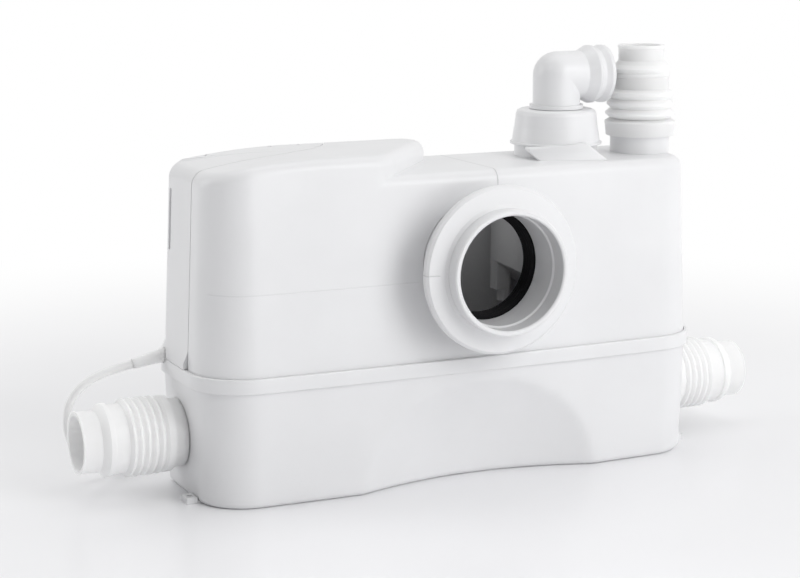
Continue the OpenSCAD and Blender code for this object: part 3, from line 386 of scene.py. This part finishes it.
FINISHES = {
    "white_shell": white_shell,
    "white_rubber": white_rubber,
    "black_rubber": black_rubber,
    "grey_plastic": grey_plastic,
    "black_plastic": black_plastic,
    "white_plastic": white_fitting,
    "steel": turned_steel(),
    "motor_metal": drawn_can(),
    "laminations": stacked_sheet(),
    "copper_wire": wound_copper(),
    "board": coated_board(),
    "pin_metal": plated_brass(),
}
for entry in frame["record"]["subparts"]:
    mesh = nodes[entry["node"]].data
    mesh.materials.clear()
    mesh.materials.append(FINISHES[entry["material_slot"]])
nodes["inlet_collar"].data.materials[0] = white_collar
# The valve body and pump deck, seen through the inlet, take the lighter grey copy: painted light inside the housing.
for name in ("valve_body", "pump_deck"):
    nodes[name].data.materials[0] = grey_with_painted_light


# Moulded shells
def house_in(z):
    """Inset of the housing's drafted wall at a height."""
    return LEDGE + (z - RIM_Z) * HOUSE_SLOPE


def tank_in(z):
    """Inset of the tank's drafted wall at a height."""
    return BAND_OUT + (BAND_Z - z) * TANK_SLOPE


def arc(centre, radius, start, end, steps=32):
    """Points on a circle from one angle to another, in degrees."""
    turn = np.radians(np.linspace(start, end, steps + 1))
    return np.stack([centre[0] + radius * np.cos(turn), centre[1] + radius * np.sin(turn)], axis=1)


def run(start, end, steps):
    """Evenly spaced points on a straight line, without its two ends."""
    share = (np.arange(1, steps) / steps)[:, None]
    return np.array(start) * (1 - share) + np.array(end) * share


def body_plan(inset):
    """The body's outline drawn in by an inset: four round corners and the straight runs between them."""
    x, y, r = HALF_W - CORNER_R, HALF_D - CORNER_R, CORNER_R - inset
    rear_x, rear_y, rear_r = HALF_W - REAR_R, HALF_D - REAR_R, REAR_R - inset
    return np.vstack([
        arc((-x, -y), r, 180, 270), run((-x, -y - r), (x, -y - r), 96),
        arc((x, -y), r, 270, 360), run((x + r, -y), (x + r, rear_y), 8),
        arc((rear_x, rear_y), rear_r, 0, 90), run((rear_x, HALF_D - inset), (-rear_x, HALF_D - inset), 24),
        arc((-rear_x, rear_y), rear_r, 90, 180), run((-x - r, rear_y), (-x - r, -y), 8)])


def hump_plan(inset):
    """The hump's outline: the body's own on the left, and a slanting side between two rounder corners."""
    x, y, r = HALF_W - CORNER_R, HALF_D - CORNER_R, CORNER_R - inset
    rear_x, rear_y, rear_r = HALF_W - REAR_R, HALF_D - REAR_R, REAR_R - inset
    along = np.array([HUMP_BACK_X - HUMP_FRONT_X, 2 * HALF_D])
    along /= np.linalg.norm(along)
    turn = math.degrees(math.atan2(-along[0], along[1]))
    front_y, back_y = HUMP_FRONT_R - HALF_D, HALF_D - HUMP_BACK_R
    front_x = HUMP_FRONT_X + (along[0] * (front_y + HALF_D) - HUMP_FRONT_R) / along[1]
    back_x = HUMP_FRONT_X + (along[0] * (back_y + HALF_D) - HUMP_BACK_R) / along[1]
    front = arc((front_x, front_y), HUMP_FRONT_R - inset, 270, 360 + turn)
    back = arc((back_x, back_y), HUMP_BACK_R - inset, turn, 90)
    return np.vstack([
        arc((-x, -y), r, 180, 270), run((-x, -y - r), front[0], 48), front, run(front[-1], back[0], 24), back,
        run(back[-1], (-rear_x, HALF_D - inset), 48), arc((-rear_x, rear_y), rear_r, 90, 180),
        run((-x - r, rear_y), (-x - r, -y), 8)])


def drawn_in(plan, inset):
    """A plan at an inset that may differ from point to point, with the front bowed: a front point moves back by
    the bow, times the square of its share of the half width, times its share of the half depth."""
    base, step = plan(0.0), 0.01
    x, y = (base + np.reshape(inset, (-1, 1)) * (plan(step) - base) / step).T
    return np.stack([x, np.where(y < 0, y - FRONT_BOW * (x / HALF_W) ** 2 * y / HALF_D, y)], axis=1)


def level(flat, z):
    """Points of a plan lifted to a height, which may differ from point to point."""
    return np.column_stack([flat, np.broadcast_to(z, len(flat))])


def hump_top(x):
    """Height of the hump's top: flat, then falling to the left with the square of the distance, which is the
    named fall over the first tenth of a metre."""
    return HUMP_Z - HUMP_FALL * (np.maximum(0, HUMP_FLAT_X - x) / 0.1) ** 2


def deck_rings(inset):
    """Rings of the low body: up the drafted wall, round the top edge on a quarter circle and in over the deck."""
    edge_z, r = DECK_Z - EDGE_R, EDGE_R - inset
    steps = [(house_in(z) + inset, z) for z in (FORM_FOOT_Z, FORM_MID_Z, edge_z - 0.003)]
    steps += [(house_in(edge_z) + inset + r * (1 - math.cos(a)), edge_z + r * math.sin(a))
              for a in np.linspace(0, math.pi / 2, 13)]
    steps.append((steps[-1][0] + 0.001, DECK_Z - inset))
    return np.stack([level(drawn_in(body_plan, pull), z) for pull, z in steps])


def hump_rings(inset):
    """Rings of the hump: up the wall, round the top edge, then in to the middle over the falling top."""
    r = EDGE_R - inset
    rings = [level(drawn_in(hump_plan, house_in(z) + inset - HUMP_PROUD), z)
             for z in (FORM_FOOT_Z, FORM_MID_Z, HUMP_WALL_Z)]
    for a in np.linspace(0, math.pi / 2, 13):
        pull = inset + r * (1 - math.cos(a))
        place_x = drawn_in(hump_plan, pull)[:, 0]
        top = hump_top(place_x)
        flat = drawn_in(hump_plan, pull + house_in(top - EDGE_R) - HUMP_PROUD)
        rings.append(level(flat, top - EDGE_R + r * math.sin(a)))
    middle, middle_x = flat.mean(axis=0), place_x.mean()
    for share in (0.985, 0.9, 0.75, 0.6, 0.45, 0.3, 0.15, 0.03):
        top = hump_top(middle_x + share * (place_x - middle_x)) - inset
        rings.append(level(middle + share * (flat - middle), top))
    return np.stack(rings)


def housing_form(inset, material):
    """The housing as one closed solid, drawn in by an inset: the low body joined with the hump."""
    deck = add_solid("deck_form", deck_rings(inset), material)
    return combine(deck, add_solid("hump_form", hump_rings(inset), material), "UNION")


def upright(flat, foot, height, material):
    """A plan carried straight up."""
    return add_solid("upright", np.stack([level(flat, foot), level(flat, foot + height)]), material)


def rod(axis, start, radius, length, material):
    """A round bar along one axis from a point."""
    circle = arc((0, 0), radius, 0, 360, 96)[:-1]
    ring = np.insert(circle, 2, 0.0, axis=1)
    ends = np.stack([ring, ring + (0, 0, length)])
    return add_solid("rod", np.roll(ends, axis + 1, axis=2) + start, material)


def block(low, high, material):
    """A box between two corners."""
    (x0, y0, z0), (x1, y1, z1) = low, high
    return upright(np.array([(x0, y0), (x1, y0), (x1, y1), (x0, y1)]), z0, z1 - z0, material)


def cover_plan(grow):
    """The service cover in plan: open to the left and back, with a straight front edge and a round right end."""
    far_x, far_y = -0.246, 0.086
    centre = (SEAM_X, SEAM_R - SEAM_Y)
    reach = SEAM_R + grow
    end = 360 + math.degrees(math.asin((far_y - centre[1]) / reach))
    return np.vstack([[(far_x, -SEAM_Y - grow)], run((far_x, -SEAM_Y - grow), (SEAM_X, -SEAM_Y - grow), 8),
                      arc(centre, reach, 270, end, 96), [(far_x, far_y)]])


def slot_plan(start, end, radius):
    """A slot with round ends."""
    turn = math.degrees(math.atan2(end[1] - start[1], end[0] - start[0]))
    return np.vstack([arc(end, radius, turn - 90, turn + 90, 12), arc(start, radius, turn + 90, turn + 270, 12)])


def finish_shell(piece, body, slot, *replaced):
    """Smooth faces with the creases kept sharp; the piece then stands for its solid."""
    mesh = piece.data
    mesh.polygons.foreach_set("use_smooth", np.ones(len(mesh.polygons), bool))
    mesh.set_sharp_from_angle(angle=math.radians(28))
    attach(piece, body)
    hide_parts(*replaced)


def gland_hole():
    """The bar that cuts the cable gland's hole in the left end."""
    return rod(0, (GLAND_X, GLAND_Y, GLAND_Z), GLAND_R, GLAND_RUN, white_shell)


def add_housing_shell():
    """The housing: its form with the feet of the discharge and the top inlet, less the same form drawn in by the
    wall and the space of the service cover; then a lip that backs the seam, and the holes."""
    shell = housing_form(0.0, white_shell)
    shell.name = "housing_shell"
    stand_z, hole_z = DECK_Z - SINK, DECK_Z - HOLE_FROM
    combine(shell, rod(2, (OUTLET_X, OUTLET_Y, stand_z), OUTLET_FOOT_R, OUTLET_FOOT_H, white_shell), "UNION")
    combine(shell, discharge_apron(), "UNION")
    combine(shell, rod(2, (TOP_X, 0, stand_z), TOP_SPOUT_R, TOP_SPOUT_H, white_shell), "UNION")
    combine(shell, housing_form(WALL, white_inside), "DIFFERENCE")
    combine(shell, upright(cover_plan(SEAM_GAP / 2), RIM_Z, CUT_RUN, white_shell), "DIFFERENCE")
    lip = housing_form(WALL - GAP, white_shell)
    combine(lip, housing_form(WALL + LIP_T, white_inside), "DIFFERENCE")
    band = upright(cover_plan(LIP_HALF_W), LIP_FOOT_Z, CUT_RUN, white_shell)
    combine(band, upright(cover_plan(-LIP_HALF_W), CLEAR_FOOT_Z, CLEAR_RUN, white_shell), "DIFFERENCE")
    combine(shell, combine(lip, band, "INTERSECT"), "UNION")
    for hole in (rod(1, (INLET_X, -INLET_HOLE_RUN, INLET_Z), INLET_HOLE_R, INLET_HOLE_RUN, white_shell),
                 rod(2, (OUTLET_X, OUTLET_Y, hole_z), OUTLET_HOLE_R, OUTLET_HOLE_RUN, white_shell),
                 rod(2, (TOP_X, 0, hole_z), TOP_HOLE_R, TOP_HOLE_RUN, white_shell), gland_hole()):
        combine(shell, hole, "DIFFERENCE")
    below_tongue = block((-0.3, -0.1, 0.0), (0.3, 0.1, TONGUE_Z), white_shell)
    combine(shell, below_tongue, "DIFFERENCE")
    finish_shell(shell, "pump_unit", "white_shell", "upper_housing")


def discharge_apron():
    """The sloping foot before the discharge cap: four rings of four corners, from a wide low edge up to a narrow
    one that rises to the right, turned a little to the left and cut round for the cap."""
    clear_r = 0.0392
    front, back = -clear_r - 0.0004, -0.0196
    low = [(-0.022, front - 0.0031), (0.036, front - 0.0031), (0.036, -0.0177), (-0.022, -0.0177)]
    middle = [(-0.031, front, 0.007), (0.0267, front - 0.0015, 0.007), (0.0267, back, 0.007), (-0.031, back, 0.007)]
    high = [(-0.031, front, 0.010), (0.018, front, 0.014), (0.018, back, 0.014), (-0.031, back, 0.010)]
    rings = np.array([level(np.array(low), -0.0033), level(np.array(low), -0.0003), middle, high])
    turn = math.radians(-18)
    x, y, z = np.moveaxis(rings, 2, 0)
    rings = np.stack([OUTLET_X + x * math.cos(turn) - y * math.sin(turn),
                      OUTLET_Y + x * math.sin(turn) + y * math.cos(turn), DECK_Z + z], axis=2)
    apron = add_solid("apron", rings, white_shell)
    soft = apron.modifiers.new("soft", "BEVEL")
    soft.width, soft.segments = 0.0013, 3
    return combine(apron, rod(2, (OUTLET_X, OUTLET_Y, DECK_Z + 0.001), clear_r, 0.02, white_shell), "DIFFERENCE")


def add_cover_shell():
    """The service cover: the housing's form with a skirt that stands out to the rim, hollowed, kept where the cover's
    plan reaches, with its slots, groove and notch cut."""
    shell = housing_form(0.0, white_shell)
    shell.name = "cover_shell"
    skirt = [(GAP, RIM_Z + GAP), (GAP, RIM_Z + SKIRT_BAND_H), (house_in(RIM_Z + SKIRT_H), RIM_Z + SKIRT_H)]
    rings = np.stack([level(drawn_in(body_plan, pull), z) for pull, z in skirt])
    combine(shell, add_solid("skirt", rings, white_shell), "UNION")
    combine(shell, housing_form(WALL - 2 * GAP, white_inside), "DIFFERENCE")
    combine(shell, upright(cover_plan(-SEAM_GAP / 2), RIM_Z + GAP, CUT_RUN, white_shell), "INTERSECT")
    slot_y = HALF_D - SLOT_IN
    slots = [slot_plan((x, slot_y - VENT_SLANT[1]), (x + VENT_SLANT[0], slot_y), VENT_R) for x in VENT_X]
    slots.append(slot_plan((FINGER_X[0], slot_y), (FINGER_X[1], slot_y), FINGER_R))
    for flat in slots:
        combine(shell, upright(flat, SLOT_FOOT_Z, SLOT_RUN, white_shell), "DIFFERENCE")
    groove = slot_plan((GROOVE_Y, GROOVE_Z[0]), (GROOVE_Y, GROOVE_Z[1]), GROOVE_R)
    outside = np.insert(groove, 0, GROOVE_FROM_X, axis=1)
    inside = np.insert(groove, 0, -HALF_W + house_in(groove[:, 1]) + GROOVE_IN, axis=1)
    combine(shell, add_solid("groove", np.stack([outside, inside]), white_shell), "DIFFERENCE")
    notch = np.insert(slot_plan((GLAND_Y, NOTCH_FOOT_Z), (GLAND_Y, GLAND_Z), GLAND_R), 0, NOTCH_X, axis=1)
    combine(shell, add_solid("notch", np.stack([notch, notch + (NOTCH_RUN, 0, 0)]), white_shell), "DIFFERENCE")
    finish_shell(shell, "cover", "white_shell", "service_cover")


def tank_ring(inset, z):
    """A ring of the tank: the body's outline, its front pressed in by a scoop that fades out along an ellipse."""
    x, y = drawn_in(body_plan, inset).T
    depth = SCOOP_D * np.maximum(0, 1 - ((x - INLET_X) / SCOOP_W) ** 2 - (z / SCOOP_H) ** 2)
    return level(np.stack([x, y + np.where(y > -HALF_D / 2, 0, depth)], axis=1), z)


def add_tank_shell():
    """The tank: one wall profile, up the outside, over the grooved rim and down the inside, carried round the
    outline; then the side ports, the rear ribs and the cuts for the lugs and the gland."""
    quarter = np.linspace(0, math.pi / 2, 7)
    heights = np.linspace(FOOT_R, BAND_Z, 25)
    edge = 0.001
    groove_out = LEDGE - GROOVE_DEEP * HOUSE_SLOPE - GAP
    groove_in = LEDGE + WALL + GAP
    rim_in = groove_in + RIM_IN_W
    foot = tank_in(0.0)
    profile = [(foot + FOOT_R * (1 - math.sin(a)), FOOT_R * (1 - math.cos(a))) for a in quarter[:-1]]
    profile += [(tank_in(z), z) for z in heights]
    profile += [(edge * (1 - math.sin(a)), BAND_Z + edge * (1 - math.cos(a))) for a in quarter]
    profile += [(edge * (1 - math.cos(a)), RIM_Z - edge * (1 - math.sin(a))) for a in quarter]
    profile += [(groove_out, RIM_Z), (groove_out, RIM_Z - GROOVE_DEEP), (groove_in, RIM_Z - GROOVE_DEEP),
                (groove_in, RIM_Z), (rim_in, RIM_Z), (rim_in, RIM_Z - RIM_IN_DEEP)]
    profile += [(tank_in(z) + WALL, z) for z in heights[-4:2:-1]]
    profile += [(foot + WALL + 0.3 * FOOT_R, FLOOR_T + FOOT_R), (foot + WALL + FOOT_R, FLOOR_T)]
    shell = add_solid("tank_shell", np.stack([tank_ring(pull, z) for pull, z in profile]), white_shell)
    wall_x = HALF_W - tank_in(PORT_Z)
    for side in (-1, 1):
        for from_wall, radius, length, operation in PORT_BARS:
            x = wall_x + from_wall
            start = x if side > 0 else -x - length
            combine(shell, rod(0, (start, PORT_Y, PORT_Z), radius, length, white_shell), operation)
        low, high = zip(sorted(side * x for x in LUG_X), LUG_Y, LUG_Z)
        combine(shell, block(low, high, white_shell), "DIFFERENCE")
    foot_y, head_y = HALF_D - tank_in(FLOOR_T) - WALL, HALF_D - tank_in(RIB_HEAD_Z) - WALL
    sections = [(foot_y - RIB_FOOT_DEEP, foot_y + SINK, FLOOR_T - SINK),
                (head_y - RIB_HEAD_DEEP, head_y + SINK, RIB_HEAD_Z + SINK)]
    for x in RIB_X:
        rings = [[(x, y0, z), (x + RIB_T, y0, z), (x + RIB_T, y1, z), (x, y1, z)] for y0, y1, z in sections]
        combine(shell, add_solid("rib", np.array(rings), white_shell), "UNION")
    combine(shell, gland_hole(), "DIFFERENCE")
    finish_shell(shell, "pump_unit", "white_shell", "tank")


def add_inlet_seal():
    """The black seal in the toilet inlet: a ring turned from a closed profile, with four fine lips along it that
    rise from the root in half sine waves and grow towards the inside."""
    front, back, root_r, outer_r = 0.065, 0.0515, 0.0434, 0.0469
    lips, lip_h, lip_growth = 4, 0.0014, 0.0022
    along = np.linspace(0.0, 1.0, 97)
    lip = np.abs(np.sin(along * lips * np.pi)) ** 1.5
    inner = np.column_stack([root_r - (lip_h + lip_growth * along) * lip, front - (front - back) * along])
    profile = np.vstack([inner, [(outer_r, back), (outer_r, front)]])
    turn = np.linspace(0, 2 * np.pi, 160, endpoint=False)
    radius, depth = profile[:, :1], profile[:, 1:]
    rings = np.stack([INLET_X + radius * np.cos(turn), -depth + 0 * turn, INLET_Z + radius * np.sin(turn)], axis=2)
    faces = grid_faces(len(profile) + 1, len(turn)) % (len(profile) * len(turn))
    seal = add_mesh("inlet_lips", rings.reshape(-1, 3), faces[:, ::-1].tolist(), black_rubber)
    finish_shell(seal, "pump_unit", "black_rubber", "inlet_seal")


add_tank_shell()
add_housing_shell()
add_cover_shell()
add_inlet_seal()


# Mains lead: its route, in metres, as in the solids
CORD_R = 0.0033
CORD_SIDES = 16
COIL_PITCH = 2 * CORD_R + 0.0007
COIL_LOOPS = 5
COIL_IN_R = 0.0275
COIL_OUT_R = COIL_IN_R + COIL_PITCH * COIL_LOOPS / 2
COIL_AT = np.array([-0.165, 0.134, 0.0045])
PLUG_AT = (-0.112, 0.090, 0.019)
COIL_START = (COIL_AT[0], COIL_AT[1] - COIL_OUT_R, COIL_AT[2])
CORD_ROUTE = np.array([
    (-0.2516, 0.042, 0.1021), (-0.264, 0.042, 0.0997), (-0.276, 0.0425, 0.0965), (-0.287, 0.044, 0.0913),
    (-0.296, 0.0465, 0.0835), (-0.3015, 0.050, 0.073), (-0.303, 0.054, 0.061), (-0.3015, 0.0585, 0.0485),
    (-0.297, 0.063, 0.0365), (-0.2895, 0.068, 0.0255), (-0.279, 0.073, 0.016), (-0.266, 0.078, 0.0088),
    (-0.251, 0.0825, 0.005), (-0.235, 0.0858, 0.004), (-0.218, 0.0876, 0.004), (-0.200, 0.0882, 0.0042),
    (-0.182, COIL_START[1], COIL_START[2]), COIL_START])
TAIL_ROUTE = np.array([
    (COIL_START[0], COIL_START[1], COIL_START[2] + COIL_PITCH), (-0.156, 0.08825, COIL_START[2] + COIL_PITCH),
    (-0.145, 0.0885, 0.0132), (-0.134, 0.0893, 0.016), (-0.122, 0.090, 0.019), PLUG_AT])


def coil_points(per_loop):
    """The coil winds in at a steady rate and out again a layer higher; it climbs in the half turn where it
    reverses."""
    whole = COIL_LOOPS * 2 * np.pi
    turn = np.linspace(0, whole, COIL_LOOPS * per_loop + 1)
    radius = COIL_IN_R + COIL_PITCH * np.abs(turn - whole / 2) / (2 * np.pi)
    climb = np.clip((turn - whole / 2) / np.pi + 0.5, 0, 1)
    return COIL_AT + np.stack([radius * np.sin(turn), -radius * np.cos(turn), COIL_PITCH * climb], axis=1)


def add_mains_lead():
    """The lead as one tube along its whole path: from the gland to the coil, through the coil and on to the plug."""
    path = np.vstack([through_points(CORD_ROUTE, 4)[:-1], coil_points(48), through_points(TAIL_ROUTE, 4)[1:]])
    lead = add_solid("mains_lead", tube(path, CORD_R, CORD_SIDES), white_cord)
    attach(lead, "pump_unit")
    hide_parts("power_cord", "cord_coil", "cord_tail")


add_mains_lead()


# Stage: a floor that fades to white, and soft lights
def add_floor():
    """A pale, slightly glossy floor that turns plain white away from the object, as the photograph's does."""
    half, fade_from, fade_to = 20.0, 0.35, 1.1
    finish = Finish("pale_floor", Roughness=0.22, Specular_IOR_Level=0.35)
    tree = finish.place.tree
    finish.colour(finish.noise(3.0).ramp(0.3, 0.7), (0.895, 0.895, 0.91), (0.915, 0.915, 0.93))
    away = (finish.x ** 2.0 + finish.y ** 2.0) ** 0.5
    paths = tree.nodes.new("ShaderNodeLightPath")
    seen = sum(Field(tree, paths.outputs[f"Is {kind} Ray"]) for kind in ("Camera", "Glossy", "Transmission"))
    glow = tree.nodes.new("ShaderNodeEmission")
    glow.inputs["Color"].default_value = (1.0, 1.0, 1.0, 1.0)
    mix = tree.nodes.new("ShaderNodeMixShader")
    share = away.ramp(fade_from, fade_to) * seen
    tree.links.new(share.socket, mix.inputs[0])
    tree.links.new(finish.shader.outputs[0], mix.inputs[1])
    tree.links.new(glow.outputs[0], mix.inputs[2])
    tree.links.new(mix.outputs[0], tree.nodes["Material Output"].inputs["Surface"])
    points = [(-half, -half, 0), (half, -half, 0), (half, half, 0), (-half, half, 0)]
    floor = add_mesh("floor", points, [(0, 1, 2, 3)], finish.material)


def add_light(name, at, aim, size, power):
    """A rectangular lamp at a place, turned to what it aims at."""
    data = bpy.data.lights.new(name, "AREA")
    data.shape = "RECTANGLE"
    data.size, data.size_y = size
    data.energy = power
    light = bpy.data.objects.new(name, data)
    light.location = at
    light.rotation_euler = (Vector(aim) - Vector(at)).to_track_quat("-Z", "Y").to_euler()
    light.visible_camera = False
    scene.collection.objects.link(light)


def add_sky(strength, dark):
    """Even white light from all round, with a darker side to the left front, as a black panel there gives."""
    panel_way = (-0.77, -0.64, 0.0)
    world = bpy.data.worlds.new("studio")
    world.use_nodes = True
    tree = world.node_tree
    way = Field(tree, tree.nodes.new("ShaderNodeTexCoord").outputs["Generated"])
    facing = way.node("ShaderNodeVectorMath", way, panel_way, out="Value", operation="DOT_PRODUCT")
    sky = tree.nodes["Background"]
    tree.links.new((1.0 - facing.ramp(0.2, 1.0) * dark).socket, sky.inputs["Color"])
    sky.inputs["Strength"].default_value = strength
    scene.world = world


add_floor()
add_sky(0.79, 0.75)
# Lamps: place, aim and size in metres, and power in watts
add_light("key", (1.0, -2.3, 1.9), (0.05, 0.0, 0.12), (1.5, 1.3), 8.0)
add_light("near", (0.8, -1.7, 1.1), (0.12, 0.0, 0.12), (1.2, 1.1), 9.5)
add_light("low", (0.7, -1.9, 0.25), (0.05, 0.0, 0.05), (1.6, 0.4), 4.5)
add_light("top", (0.2, 0.2, 2.4), (0.1, 0.0, 0.2), (1.8, 1.2), 6.0)
add_light("behind", (-1.9, 1.2, 0.9), (-0.2, 0.0, 0.15), (1.2, 1.4), 9.5)
# Faint light inside, as the white walls let some through
add_light("inside", (0.0, -0.036, 0.236), (0.05, 0.06, 0.15), (0.05, 0.02), 0.008)
scene.view_settings.view_transform = "Standard"
